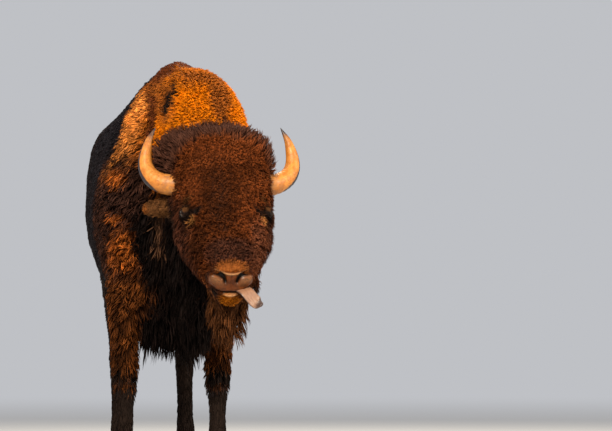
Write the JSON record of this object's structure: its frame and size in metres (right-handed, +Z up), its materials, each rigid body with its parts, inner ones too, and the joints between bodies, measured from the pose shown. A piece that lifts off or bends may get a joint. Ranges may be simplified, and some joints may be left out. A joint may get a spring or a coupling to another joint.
{
  "type": "american bison",
  "caption": "Life-size standing American bison bull with a tall shoulder hump, lowered woolly head, curved horns, hanging beard and its tongue out to one side.",
  "frame": {"origin": "on the floor, below the middle of the whole", "axes": "+Z up, the animal faces -Y and its left side is +X"},
  "size_m": [0.7814, 2.5382, 1.724],
  "materials": {
    "wool": "curly matt wool",
    "cape": "curly matt wool",
    "dark_hair": "long shaggy hair",
    "flank": "short sleek hair",
    "nose": "bare moist skin",
    "horn": "worn horn",
    "eye": "wet and glossy",
    "tongue": "moist rough skin",
    "hoof": "worn horn"
  },
  "bodies": {
    "root": {"lower_foreleg_left": "dark_hair", "upper_foreleg_left": "dark_hair", "lower_foreleg_right": "dark_hair", "upper_foreleg_right": "dark_hair", "lower_hindleg_left": "dark_hair", "thigh_left": "flank", "lower_hindleg_right": "dark_hair", "thigh_right": "flank", "head": "wool", "neck": "cape", "shoulders": "cape", "barrel": "flank", "rump": "flank", "nose": "nose", "beard": "wool", "lower_jaw": "wool", "tail": "dark_hair", "tail_tuft": "dark_hair", "tongue": "tongue", "horn_left": "horn", "ear_left": "dark_hair", "eye_left": "eye", "fore_hoof_left": "hoof", "hind_hoof_left": "hoof", "horn_right": "horn", "ear_right": "dark_hair", "eye_right": "eye", "fore_hoof_right": "hoof", "hind_hoof_right": "hoof"}
  },
  "joints": []
}
